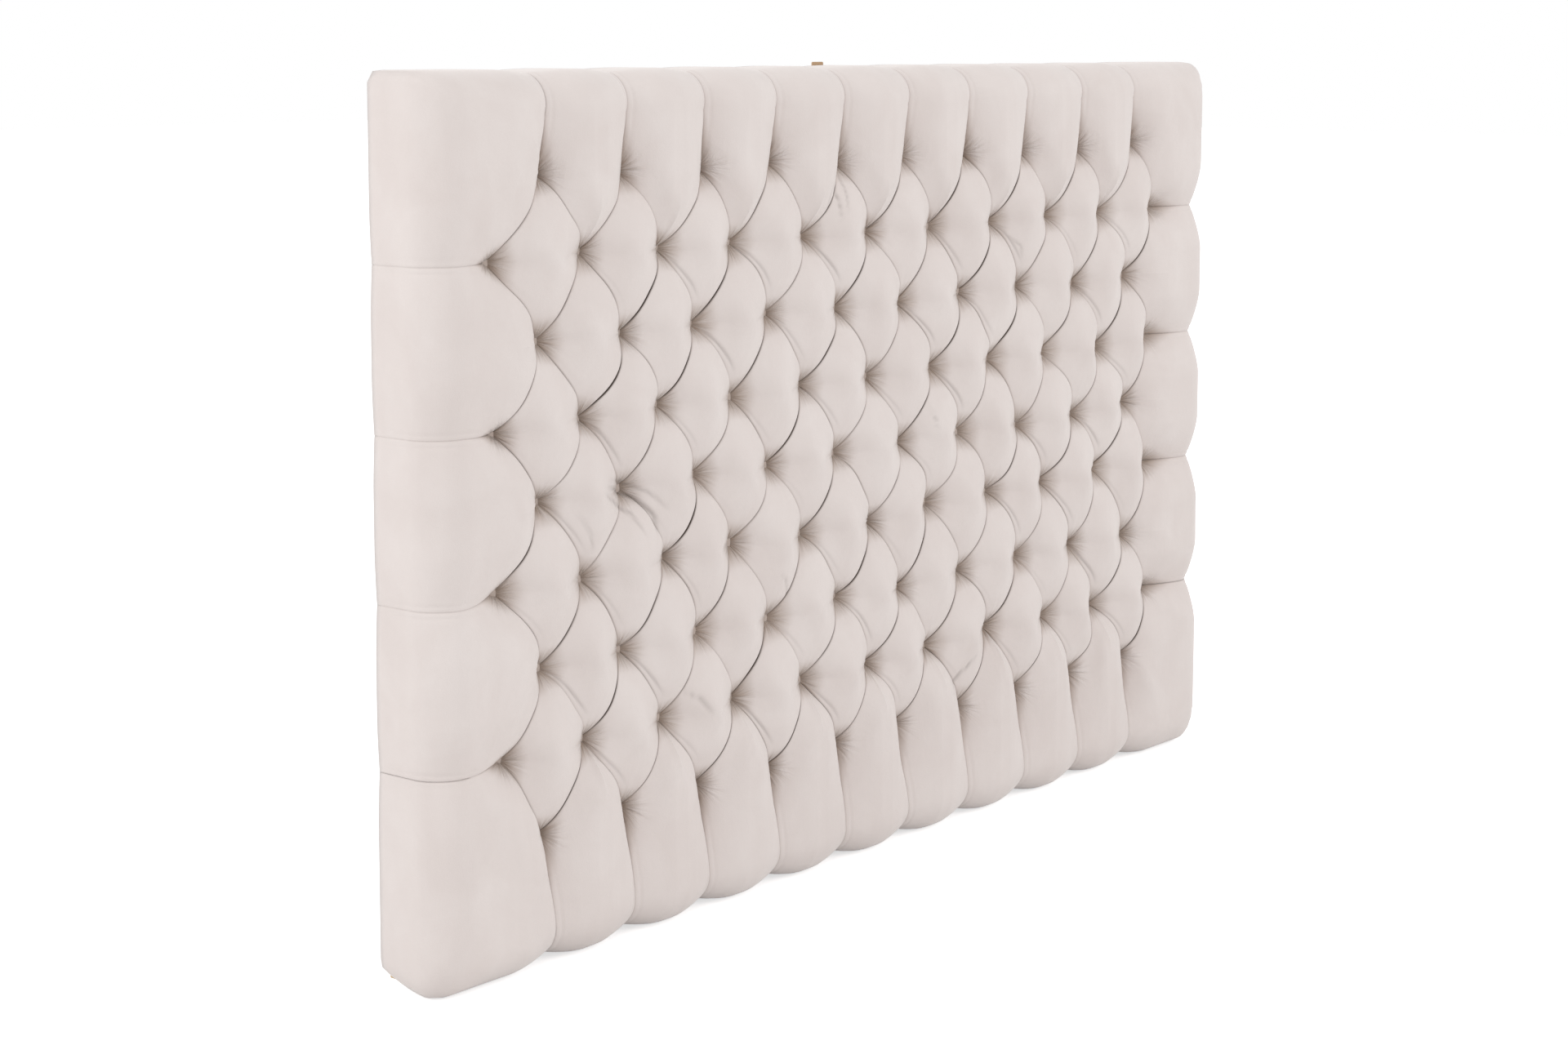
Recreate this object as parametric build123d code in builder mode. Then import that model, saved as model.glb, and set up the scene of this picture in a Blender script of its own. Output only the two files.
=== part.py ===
# Deep-buttoned upholstered headboard that stands on the floor, in millimetres.
# X runs along the width, -Y faces the bed, +Z is up, and the origin is at the middle of the foot.
import os
from math import cos, radians, sqrt

from build123d import *

os.makedirs("parts", exist_ok=True)

# Overall size, over the pillows
width = 1800
height = 1200
crown_depth = 125  # back of the hem to the crest of a pillow

# Button pattern: even rows hold one button more than odd rows and reach further out
row_count = 9
long_row_count = 11
side_margin = 140  # end button of a long row to the side
top_margin = 137  # first row to the top edge
bottom_margin = 183  # last row to the foot

# Tufting
funnel_depth = 60  # back of the hem to the bottom of the funnel under a button
crease_depth = 104  # back of the hem to a crease, half way between two buttons
pleat_depth = 104  # back of the hem to an edge pleat, where it turns over the edge
nose_radius = 58
pleat_inset = 8  # how far a pleat draws the edge in
hem_share = 0.5  # of that inset, left at the back edge
corner_inset = 5
crown_share = 0.42  # of the way from a button to the shoulder of the edge, where the crown turns flat
pleat_share = 0.7  # the same along a pleat
half_strip_count = 2
strip_count = 2 * half_strip_count  # strips across a pillow
standing_cut = 0.5

# Wooden frame
edge_padding = 15  # filling and cover over the edges of the frame
frame_thickness = 38
rail_width = 70
stile_width = 70
mid_stile_width = 45
mid_stile_share = 0.35  # of the way from the middle to the end button, between two columns
board_thickness = 9
block_side = 90
block_thickness = 26

# Upholstery layers
hem_thickness = 1.2
hem_width = 35
soft_gap = 0.2
foam_thickness = 6
cloth_thickness = 0.8
cloth_gap = 0.7
cloth_inset = 24

# Buttons, twine and toggles
button_radius = 9.5
button_sides = 8
button_height = 5
button_taper = 38
twine_radius = 1
twine_sides = 3
toggle_length = 16
toggle_width = 5
toggle_thickness = 4
twine_hole_radius = 3
hole_sides = 6

# Staples along the hem, the dust cloth and the joints of the frame
staple_length = 10
staple_width = 1.3
staple_crown = 0.6
hem_staple_inset = 34
hem_staple_pitch = 76
cloth_staple_inset = 40
cloth_staple_pitch = 152
joint_staple_length = 38
joint_staple_width = 1.6
joint_staple_crown = 1
joint_staple_spread = 30

# Threaded inserts for the bed's bolts
insert_radius = 6
insert_length = 20
insert_bore_radius = 3.4
insert_flange_radius = 9
insert_flange = 1.2
insert_height = 250
insert_rise = 80
insert_inset = 70
cloth_hole_radius = 11

# Small tab behind the top edge
tab_width = 25
tab_thickness = 2
tab_length = 27
tab_rise = 5
tab_offset = 19

# Sizes that follow from those above
rear_build = cloth_gap + cloth_thickness + staple_crown
back_y = (crown_depth + rear_build) / 2 - rear_build
half_width = width / 2
end_button = half_width - side_margin
button_pitch = 2 * end_button / (long_row_count - 1)
half_pitch = button_pitch / 2
row_pitch = (height - top_margin - bottom_margin) / (row_count - 1)
frame_half_width = half_width - edge_padding
frame_height = height - 2 * edge_padding
frame_back = hem_thickness + soft_gap
board_back = frame_back + frame_thickness
foam_back = board_back + board_thickness + soft_gap
foam_front = foam_back + foam_thickness
middle = height / 2
insert_x = half_width - insert_inset


def row_height(row):
    return height - top_margin - row_pitch * (row - 1)


def row_xs(row):
    count = long_row_count - row % 2
    return [button_pitch * (i - (count - 1) / 2) for i in range(count)]


button_spots = [(x, row_height(row)) for row in range(1, row_count + 1) for x in row_xs(row)]


# The plane that faces the bed, a given depth in front of the back of the hem
def at_depth(depth):
    return Plane.XZ.offset(depth - back_y)


def spot(plan, depth):
    return Vector(plan[0], back_y - depth, plan[1])


def between(a, b, share):
    return (a[0] + (b[0] - a[0]) * share, a[1] + (b[1] - a[1]) * share)


# Every curve over a pillow is a parabola: two ends, and a control that makes it pass its middle
crease_control = 2 * crease_depth - funnel_depth
crest_control = 4 * crown_depth - funnel_depth - 2 * crease_control


# The point of a parabola at a share of its way
def parabola_point(controls, share):
    p, q, r = controls
    return p * (1 - share) ** 2 + q * 2 * share * (1 - share) + r * share**2


# The depth of a diamond pillow at shares of the way along two of its sides
def pillow_depth(first, second):
    side = parabola_point([funnel_depth, crease_control, funnel_depth], second)
    middle = parabola_point([crease_control, crest_control, crease_control], second)
    return parabola_point([side, middle, side], first)


# A button's rim rests on the facets of the pillows beside it, between their corners at one strip's share
strip_share = 1 / strip_count
facet_depths = [funnel_depth, pillow_depth(0, strip_share), pillow_depth(strip_share, strip_share)]
rim_depth = parabola_point(facet_depths, button_radius / button_pitch / strip_share) + soft_gap


# A cut across parabolas that lie side by side
def rib_at(ribs, share):
    return [parabola_point(controls, share) for controls in zip(*ribs)]


def strips(count):
    return [(i / count, (i + 1) / count) for i in range(count)]


# A diamond pillow hangs between four buttons, in ruled facets between straight lines
def diamond_pillow(x, z):
    left, right = (x - half_pitch, z), (x + half_pitch, z)
    upper, lower = (x, z + row_pitch), (x, z - row_pitch)


    def crease(a, b):
        return [spot(a, funnel_depth), spot(between(a, b, 1 / 2), crease_control), spot(b, funnel_depth)]

    net = [crease(left, upper), crease(left, lower)[1:2], crease(lower, right)]
    net[1] += [spot((x, z), crest_control)] + crease(upper, right)[1:2]
    faces = []
    for a, b in strips(strip_count):
        low, high = rib_at(net, a), rib_at(net, b)
        for c, d in strips(strip_count):
            rows = [[parabola_point(row, c), parabola_point(row, d)] for row in (low, high)]
            faces.append(Face.make_bezier_surface(rows))
    return faces


# A rib over the edge: from a crease up to the crown, round the nose, and back along the flat band
def edge_rib(start, start_depth, edge, outward, fullness, inset):
    shoulder_depth = pleat_depth + (crown_depth - pleat_depth) * fullness

    def inside(distance):
        return (edge[0] - outward[0] * distance, edge[1] - outward[1] * distance)

    shoulder = inside(inset + nose_radius)
    turn_share = pleat_share + (crown_share - pleat_share) * fullness
    return [
        spot(start, start_depth),
        spot(between(start, shoulder, turn_share), shoulder_depth),
        spot(shoulder, shoulder_depth),
        spot(inside(inset), shoulder_depth),
        spot(inside(inset), shoulder_depth - nose_radius),
        spot(inside(inset * hem_share), 0),
    ]


# The crown, the quarter-round nose and the band of an edge pillow, in ruled strips between its ribs
def edge_faces(ribs, count):
    faces = []
    for a, b in strips(count):
        low, high = rib_at(ribs, a), rib_at(ribs, b)
        faces += [
            Face.make_bezier_surface([low[0:3], high[0:3]]),
            Face.make_bezier_surface([low[2:5], high[2:5]], [[1, cos(radians(45)), 1]] * 2),
            Face.make_bezier_surface([low[4:6], high[4:6]]),
        ]
    return faces


# Half an edge pillow: from the pleat over one button to the crest, which starts at the next row's button
def edge_half(button, inner_button, pleat_edge, crest_edge, outward):
    middle = between(button, inner_button, 1 / 2)
    return edge_faces(
        [
            edge_rib(button, funnel_depth, pleat_edge, outward, 0, pleat_inset),
            edge_rib(middle, crease_control, between(pleat_edge, crest_edge, 1 / 2), outward, 1, 0),
            edge_rib(inner_button, funnel_depth, crest_edge, outward, 1, 0),
        ],
        strip_count,
    )


# Half a corner pillow: from a pleat to the mitre, which starts half way along the crease
def corner_half(button, far_button, pleat_edge, corner, outward, diagonal):
    quarter, middle = between(button, far_button, 1 / 4), between(button, far_button, 1 / 2)
    return edge_faces(
        [
            edge_rib(button, funnel_depth, pleat_edge, outward, 0, pleat_inset),
            edge_rib(quarter, crease_depth, between(pleat_edge, corner, 1 / 2), outward, 1, 0),
            edge_rib(middle, crease_depth, corner, diagonal, 1, corner_inset),
        ],
        half_strip_count,
    )


# The skin hangs a little below the floor, so that its foot can be cut flat
edge_heights = {1: height, row_count: -standing_cut}
skin = []
for row in range(1, row_count + 1):
    for x, next_x in zip(row_xs(row), row_xs(row)[1:]):
        crest_x = (x + next_x) / 2
        if 1 < row < row_count:
            skin += diamond_pillow(crest_x, row_height(row))
            continue
        up = 1 if row == 1 else -1
        inner = (crest_x, row_height(row + up))
        for pleat_x in (x, next_x):
            pleat_edge, crest_edge = (pleat_x, edge_heights[row]), (crest_x, edge_heights[row])
            skin += edge_half((pleat_x, row_height(row)), inner, pleat_edge, crest_edge, (0, up))
for side in (-1, 1):
    for row in range(3, row_count, 2):
        inner = (side * (end_button - half_pitch), row_height(row))
        crest_edge = (side * half_width, row_height(row))
        for pleat_row in (row - 1, row + 1):
            pleat_z = row_height(pleat_row)
            pleat_edge = (side * half_width, pleat_z)
            skin += edge_half((side * end_button, pleat_z), inner, pleat_edge, crest_edge, (side, 0))
    for row, up in ((1, 1), (row_count, -1)):
        corner = (side * half_width, edge_heights[row])
        first = (side * (end_button - half_pitch), row_height(row))
        second = (side * end_button, row_height(row + up))
        skin += corner_half(first, second, (first[0], corner[1]), corner, (0, up), (side, up))
        skin += corner_half(second, first, (corner[0], second[1]), corner, (side, 0), (side, up))

skin_edges = Shell(Face.sew_faces(skin)[0]).edges()
back_edges = skin_edges.filter_by_position(Axis.Y, back_y - soft_gap, back_y + soft_gap)
skin.append(Face(Wire(back_edges)))

# Velvet cover with its filling, tufted in front and turned over the back of the frame as a hem
with BuildPart() as tufted_cover:
    add(Solid(Shell(Face.sew_faces(skin)[0])))
    with BuildSketch(Plane.XY):
        Rectangle(width, crown_depth * 2)
    extrude(amount=-standing_cut * 2, mode=Mode.SUBTRACT)
    with BuildSketch(at_depth(hem_thickness)):
        with Locations((0, middle)):
            Rectangle(2 * (frame_half_width + soft_gap), frame_height + 2 * soft_gap)
    extrude(amount=foam_front + soft_gap - hem_thickness, mode=Mode.SUBTRACT)
    with BuildSketch(at_depth(0)):
        with Locations((0, middle)):
            Rectangle(2 * (frame_half_width - hem_width), frame_height - 2 * hem_width)
    extrude(amount=hem_thickness, mode=Mode.SUBTRACT)
    # The outermost buttons press into the steeper pillows of the edge
    end_spots = [(x, z) for x, z in button_spots if abs(x) > end_button - half_pitch / 2]
    with BuildSketch(at_depth(rim_depth - soft_gap)):
        with Locations(*[(x, row_height(row)) for row in (1, row_count) for x in row_xs(row)], *end_spots):
            RegularPolygon(button_radius + soft_gap, button_sides)
    extrude(amount=crown_depth - rim_depth, mode=Mode.SUBTRACT)
tufted_cover.part.label = "tufted_cover"
export_step(tufted_cover.part, "parts/tufted_cover.step")

# Firm foam under the filling
with BuildPart() as base_foam:
    with BuildSketch(at_depth(foam_back)):
        with Locations((0, middle)):
            Rectangle(2 * frame_half_width, frame_height)
    extrude(amount=foam_thickness)
base_foam.part.label = "base_foam"
export_step(base_foam.part, "parts/base_foam.step")

# Plywood board that the buttons are tied through
with BuildPart() as buttoning_board:
    with BuildSketch(at_depth(board_back)):
        with Locations((0, middle)):
            Rectangle(2 * frame_half_width, frame_height)
        with Locations(*button_spots):
            RegularPolygon(twine_hole_radius, hole_sides, mode=Mode.SUBTRACT)
    extrude(amount=board_thickness)
buttoning_board.part.label = "buttoning_board"
export_step(buttoning_board.part, "parts/buttoning_board.step")

# Frame of two rails and four stiles, half-lapped where they cross
side_stile_x = frame_half_width - stile_width / 2
mid_stile_x = mid_stile_share * end_button
top_rail_z = height - edge_padding - rail_width / 2
bottom_rail_z = edge_padding + rail_width / 2
stiles = {
    "left_stile": (-side_stile_x, stile_width),
    "left_mid_stile": (-mid_stile_x, mid_stile_width),
    "right_mid_stile": (mid_stile_x, mid_stile_width),
    "right_stile": (side_stile_x, stile_width),
}
insert_heights = (insert_height, insert_height + insert_rise)
insert_spots = [(side * insert_x, z) for side in (-1, 1) for z in insert_heights]

for name, rail_z in (("top_rail", top_rail_z), ("bottom_rail", bottom_rail_z)):
    with BuildPart() as rail:
        with BuildSketch(at_depth(frame_back)):
            with Locations((0, rail_z)):
                Rectangle(2 * frame_half_width, rail_width)
        extrude(amount=frame_thickness)
        with BuildSketch(at_depth(frame_back)):
            for stile_x, stile in stiles.values():
                with Locations((stile_x, rail_z)):
                    Rectangle(stile, rail_width)
        extrude(amount=frame_thickness / 2, mode=Mode.SUBTRACT)
    rail.part.label = name
    export_step(rail.part, f"parts/{name}.step")

for name, (stile_x, stile) in stiles.items():
    with BuildPart() as stile_part:
        with BuildSketch(at_depth(frame_back)):
            with Locations((stile_x, middle)):
                Rectangle(stile, frame_height)
        extrude(amount=frame_thickness)
        with BuildSketch(at_depth(frame_back + frame_thickness / 2)):
            with Locations((stile_x, top_rail_z), (stile_x, bottom_rail_z)):
                Rectangle(stile, rail_width)
        extrude(amount=frame_thickness / 2, mode=Mode.SUBTRACT)
        near_inserts = [place for place in insert_spots if abs(place[0] - stile_x) < stile / 2]
        if near_inserts:
            with BuildSketch(at_depth(frame_back)):
                with Locations(*near_inserts):
                    Circle(insert_radius)
            extrude(amount=insert_length, mode=Mode.SUBTRACT)
    stile_part.part.label = name
    export_step(stile_part.part, f"parts/{name}.step")

# Glued blocks in the four corners, behind the board
inner_x = frame_half_width - stile_width
inner_top = height - edge_padding - rail_width
inner_bottom = edge_padding + rail_width
with BuildPart() as corner_blocks:
    with BuildSketch(at_depth(board_back - block_thickness)):
        for side in (-1, 1):
            for z, down in ((inner_top, -1), (inner_bottom, 1)):
                corner = (side * inner_x, z)
                Polygon(
                    corner,
                    (corner[0] - side * block_side, z),
                    (corner[0], z + down * block_side),
                    align=None,
                )
    extrude(amount=block_thickness)
corner_blocks.part.label = "corner_blocks"
export_step(corner_blocks.part, "parts/corner_blocks.step")

# Wide staples across the seams of the laps, beside the hem
frame_top = height - edge_padding
staple_zs = [(inner_top + frame_top - hem_width) / 2, (inner_bottom + edge_padding + hem_width) / 2]
seam_xs = [-inner_x, inner_x]
for side in (-1, 1):
    seam_xs += [side * mid_stile_x - mid_stile_width / 2, side * mid_stile_x + mid_stile_width / 2]
with BuildPart() as joint_staples:
    with BuildSketch(at_depth(frame_back - joint_staple_crown)):
        with Locations(*[(x, z) for x in seam_xs for z in staple_zs]):
            Rectangle(joint_staple_length, joint_staple_width)
    extrude(amount=joint_staple_crown)
joint_staples.part.label = "joint_staples"
export_step(joint_staples.part, "parts/joint_staples.step")

# Covered buttons, seated on the slopes of the pillows round them
with BuildPart() as buttons:
    with BuildSketch(at_depth(rim_depth)):
        with Locations(*button_spots):
            RegularPolygon(button_radius, button_sides)
    extrude(amount=button_height, taper=button_taper)
buttons.part.label = "buttons"
export_step(buttons.part, "parts/buttons.step")

# Twine from each button through the filling, the foam and the board to its toggle
with BuildPart() as button_twines:
    with BuildSketch(at_depth(board_back)):
        with Locations(*button_spots):
            RegularPolygon(twine_radius, twine_sides)
    extrude(amount=rim_depth - board_back)
button_twines.part.label = "button_twines"
export_step(button_twines.part, "parts/button_twines.step")

with BuildPart() as twine_toggles:
    with BuildSketch(at_depth(board_back - toggle_thickness)):
        with Locations(*button_spots):
            Rectangle(toggle_length, toggle_width)
    extrude(amount=toggle_thickness)
twine_toggles.part.label = "twine_toggles"
export_step(twine_toggles.part, "parts/twine_toggles.step")


# Places for staples along the four sides of a rectangle that lies a given inset inside the outline
def staple_row(inset, pitch):
    across = int((half_width - inset) // pitch)
    upward = int((middle - inset) // pitch)
    flat, upright = [], []
    for s in (-1, 1):
        flat += [(i * pitch, middle + s * (middle - inset)) for i in range(-across, across + 1)]
        upright += [(s * (half_width - inset), middle + i * pitch) for i in range(-upward + 1, upward)]
    return flat, upright


# Staples that hold the hem to the frame, under the edge of the dust cloth
flat_spots, upright_spots = staple_row(hem_staple_inset, hem_staple_pitch)
with BuildPart() as hem_staples:
    with BuildSketch(at_depth(-staple_crown)):
        with Locations(*flat_spots):
            Rectangle(staple_length, staple_width)
        with Locations(*upright_spots):
            Rectangle(staple_width, staple_length)
    extrude(amount=staple_crown)
hem_staples.part.label = "hem_staples"
export_step(hem_staples.part, "parts/hem_staples.step")

# Dust cloth over the back, holed for the bed's bolts
with BuildPart() as dust_cloth:
    with BuildSketch(at_depth(-cloth_gap - cloth_thickness)):
        with Locations((0, middle)):
            Rectangle(2 * (half_width - cloth_inset), height - 2 * cloth_inset)
        with Locations(*insert_spots):
            Circle(cloth_hole_radius, mode=Mode.SUBTRACT)
    extrude(amount=cloth_thickness)
dust_cloth.part.label = "dust_cloth"
export_step(dust_cloth.part, "parts/dust_cloth.step")

flat_spots, upright_spots = staple_row(cloth_staple_inset, cloth_staple_pitch)
with BuildPart() as cloth_staples:
    with BuildSketch(at_depth(-rear_build)):
        with Locations(*flat_spots):
            Rectangle(staple_length, staple_width)
        with Locations(*upright_spots):
            Rectangle(staple_width, staple_length)
    extrude(amount=staple_crown)
cloth_staples.part.label = "cloth_staples"
export_step(cloth_staples.part, "parts/cloth_staples.step")

# Flanged inserts in the side stiles, for the bolts of the bed's brackets
with BuildPart() as bed_inserts:
    with BuildSketch(at_depth(frame_back)):
        with Locations(*insert_spots):
            Circle(insert_radius)
    extrude(amount=insert_length)
    with BuildSketch(at_depth(frame_back)):
        with Locations(*insert_spots):
            Circle(insert_flange_radius)
    extrude(amount=-insert_flange)
    with BuildSketch(at_depth(frame_back - insert_flange)):
        with Locations(*insert_spots):
            Circle(insert_bore_radius)
    extrude(amount=insert_flange + insert_length, mode=Mode.SUBTRACT)
bed_inserts.part.label = "bed_inserts"
export_step(bed_inserts.part, "parts/bed_inserts.step")

# Tab behind the top edge, left of the middle
with BuildPart() as top_tab:
    with BuildSketch(at_depth(-tab_thickness)):
        with Locations((-tab_offset, height + tab_rise - tab_length / 2)):
            RectangleRounded(tab_width, tab_length, tab_rise / 2)
    extrude(amount=tab_thickness)
top_tab.part.label = "top_tab"
export_step(top_tab.part, "parts/top_tab.step")
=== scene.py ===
import math

import bpy
import numpy as np
from mathutils import Matrix, Vector


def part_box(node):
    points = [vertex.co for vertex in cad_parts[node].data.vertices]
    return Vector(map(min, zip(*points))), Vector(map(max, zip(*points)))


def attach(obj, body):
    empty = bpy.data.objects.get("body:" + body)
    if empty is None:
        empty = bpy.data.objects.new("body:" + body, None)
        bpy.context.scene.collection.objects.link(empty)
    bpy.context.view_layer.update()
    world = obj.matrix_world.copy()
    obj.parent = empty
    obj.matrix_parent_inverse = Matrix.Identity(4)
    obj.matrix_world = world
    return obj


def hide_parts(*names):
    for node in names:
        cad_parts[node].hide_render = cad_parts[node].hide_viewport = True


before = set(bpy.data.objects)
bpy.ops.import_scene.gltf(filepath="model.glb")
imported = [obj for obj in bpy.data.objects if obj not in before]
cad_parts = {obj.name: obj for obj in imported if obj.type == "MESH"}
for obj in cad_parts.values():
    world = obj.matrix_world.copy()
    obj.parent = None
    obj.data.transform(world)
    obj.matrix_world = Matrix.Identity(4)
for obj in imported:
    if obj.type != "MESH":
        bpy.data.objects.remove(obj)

scene = bpy.context.scene
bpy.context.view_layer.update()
print("frame loaded")


class Val:  # wraps a socket, so that materials read as sums
    def __init__(self, shader, socket):
        self.shader, self.socket = shader, socket

    def math(self, operation, *others, first=None):
        values = [self, *others] if first is None else [first, self]
        return self.shader.node("ShaderNodeMath", {"operation": operation}, values).out()

    def __add__(self, other): return self.math("ADD", other)
    def __radd__(self, other): return self.math("ADD", other)
    def __sub__(self, other): return self.math("SUBTRACT", other)
    def __rsub__(self, other): return self.math("SUBTRACT", first=other)
    def __mul__(self, other): return self.math("MULTIPLY", other)
    def __rmul__(self, other): return self.math("MULTIPLY", other)
    def clamp(self): return self.shader.node("ShaderNodeClamp", {}, [self]).out()


class Shader:  # the nodes of one material, or of the world
    def __init__(self, name, world=None):
        self.material = world or bpy.data.materials.new(name)
        self.material.use_nodes = True
        self.tree = self.material.node_tree
        self.tree.nodes.clear()
        self.output = self.tree.nodes.new("ShaderNodeOutputWorld" if world else "ShaderNodeOutputMaterial")

    def plug(self, socket, value):
        if isinstance(value, Val):
            self.tree.links.new(value.socket, socket)
        elif value is not None:
            socket.default_value = value

    def node(self, kind, settings=None, inputs=None):
        made = self.tree.nodes.new(kind)
        for key, value in (settings or {}).items():
            if key == "stops":
                while len(made.color_ramp.elements) < len(value):
                    made.color_ramp.elements.new(0.5)
                for element, (position, colour) in zip(made.color_ramp.elements, value):
                    element.position, element.color = position, colour
            else:
                setattr(made, key, value)
        pairs = enumerate(inputs) if isinstance(inputs, (list, tuple)) else (inputs or {}).items()
        for key, value in pairs:
            self.plug(made.inputs[key], value)
        return Made(self, made)

    def mix(self, factor, first, second):  # colours
        ends = [value if isinstance(value, Val) else (*value, 1) for value in (first, second)]
        return self.node("ShaderNodeMix", {"data_type": "RGBA"}, {0: factor, 6: ends[0], 7: ends[1]}).out(2)

    def noise(self, place, scale, detail=2.0, roughness=0.5, distortion=0.0):
        return self.node("ShaderNodeTexNoise", {}, {"Vector": place, "Scale": scale, "Detail": detail,
                                                    "Roughness": roughness, "Distortion": distortion}).out(0)

    def stretched(self, place, scale):  # with the axes scaled apart
        return self.node("ShaderNodeVectorMath", {"operation": "MULTIPLY"}, [place, scale]).out()

    def place(self):
        return self.node("ShaderNodeTexCoord").out("Object")

    def layer(self, name, output="Fac"):  # a value that the mesh carries
        return self.node("ShaderNodeAttribute", {"attribute_name": name}).out(output)

    def bump(self, height, distance, strength=1.0, normal=None):
        return self.node("ShaderNodeBump", {}, {"Height": height, "Distance": distance, "Strength": strength,
                                                "Normal": normal}).out()

    def finish(self, surface):
        self.tree.links.new(surface.socket, self.output.inputs["Surface"])
        return self.material


class Made:
    def __init__(self, shader, made):
        self.shader, self.made = shader, made

    def out(self, name=0):
        return Val(self.shader, self.made.outputs[name])


# Places come in millimetres: x along the width, z up, and the depth in front of the back of the hem
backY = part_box("tufted_cover")[1].y * 1000

tufting = {
    "seed": 7,
    "pitch": 152.0, "rowPitch": 110.0, "topRow": 1063.0,
    "rows": 9, "inEvenRow": 11,  # an odd row has one button fewer
    "halfWidth": 900.0, "height": 1200.0,
    "sideLength": 125.0,     # of a diamond, about
    "crown": 125.0,          # depth of a crest
    "funnel": 72.0,          # depth of the funnel's bottom, under a button
    "crease": 103.0,         # depth half way along a crease
    "creasePower": 2.3,      # how sharply a crease dips at its buttons
    "slack": 10.0,           # how much lower the cloth lies between a crest and the buttons beside it
    "roundness": .95,        # share of a dip that dies away slowly
    # how deep a pleat lies at the shoulder, below the nose and at the hem, on each side
    "pleats": {"left": (16.0, 6.0, 3.0), "right": (24.0, 13.0, 5.0),
               "top": (27.0, 6.0, 2.5), "bottom": (19.0, 14.0, 7.0)},
    "endSpan": .85, "sideSpan": .95,  # how far a pleat draws the cloth beside it, in pitches
    "twin": .9, "twinWidth": 1.8, "twinAway": 8.0,  # height, half width and place of a pleat's second layer
    "noseRadius": 58.0,
    # outline's corner radii at the shoulder and at the rim, for the lower and the upper corners
    "shoulderCorners": (60.0, 45.0), "rimCorners": (30.0, 16.0),
    "tuck": 17.0, "tuckReach": 38.0,  # the lower corners are tucked up behind
    "hemDepth": .2, "hemReaches": (2.0, 12.0, 32.0),
    "jitter": 1.6,           # of the buttons
    "wobble": 2.4, "midWobble": 2.0,  # of the creases, sideways and in depth
    "slot": 4.0, "slotWidth": .9,  # depth and half width of the slit along a crease
    # share of it in the creases that fall to the left and to the right, and in the pleats; the same shares set how
    # dark the painted shade in each slit is
    "darkSlot": 1.0, "lightSlot": .24, "pleatSlot": .22,
    "fan": 2.2, "fanRadius": 13.0, "fanFolds": (9, 13, 17, 22),  # folds that run out from a button
    "swell": .55,            # of the filling
    "dimpleShadeFrom": 25.0, "dimpleShadeOver": 19.0,  # depths of the dip between which painted shade darkens the funnels towards tan
    "weldGrid": 50.0,        # steps to a millimetre; points of two cells on the same step are one
}
rng = np.random.default_rng(tufting["seed"])

# Distances from a crease at which the mesh has a line, then shares of the whole way across
creaseSteps = np.array([0, .5, 1.0, 1.6, 2.4, 3.4, 4.8, 6.6, 8.8, 11.3, 14.1, 17.3, 20.9, 24.9, 29.3, 34.1,
                        39.3, 44.8, 50.5, 56.5, 62.5])
creaseShares = creaseSteps / tufting["sideLength"]
across = np.concatenate([creaseShares, 1 - creaseShares[-2::-1]])


def rowZ(row):
    return tufting["topRow"] - tufting["rowPitch"] * (row - 1)


def rowXs(row):
    count = tufting["inEvenRow"] - row % 2
    return [tufting["pitch"] * (i - (count - 1) / 2) for i in range(count)]


# Hand-tied buttons stray from their grid, these (row, place in the row) the most
strays = {
    (1, 2): (9, -2), (1, 4): (3, -6), (1, 6): (8, -1), (1, 7): (6, 1), (1, 8): (10, -2), (1, 9): (13, 5),
    (2, 0): (-12, -1), (2, 1): (2, 4), (3, 2): (-7, -1), (3, 5): (-3, -3), (3, 8): (4, -5),
    (4, 0): (-5, -5), (4, 2): (-2, 4), (4, 4): (-5, 2), (4, 8): (-7, -1), (4, 9): (-6, -5), (4, 10): (-11, 1),
    (5, 0): (-3, 7), (5, 1): (-1, 5), (5, 2): (-4, 7), (5, 7): (4, -6), (5, 8): (6, -4),
    (6, 0): (-5, 5), (6, 2): (8, 8), (6, 3): (-3, 8), (6, 6): (-8, 8), (6, 7): (-1, 6), (6, 8): (-8, 5),
    (6, 9): (-10, 8), (6, 10): (-12, 2), (7, 3): (0, -5), (7, 5): (0, -6), (7, 9): (4, -8),
    (8, 6): (-7, 1), (8, 7): (-4, 6), (8, 9): (-10, -5), (8, 10): (-10, 2),
    (9, 0): (-5, -5), (9, 3): (0, -7), (9, 5): (-8, 1),
}
buttonSpots = {}
for row in range(1, tufting["rows"] + 1):
    for i, x in enumerate(rowXs(row)):
        shift = strays.get((row, i), rng.normal(0, tufting["jitter"], 2).clip(-3, 3))
        buttonSpots[(round(x), row)] = np.array([x, rowZ(row)]) + shift
print("buttons placed:", len(buttonSpots))


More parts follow.
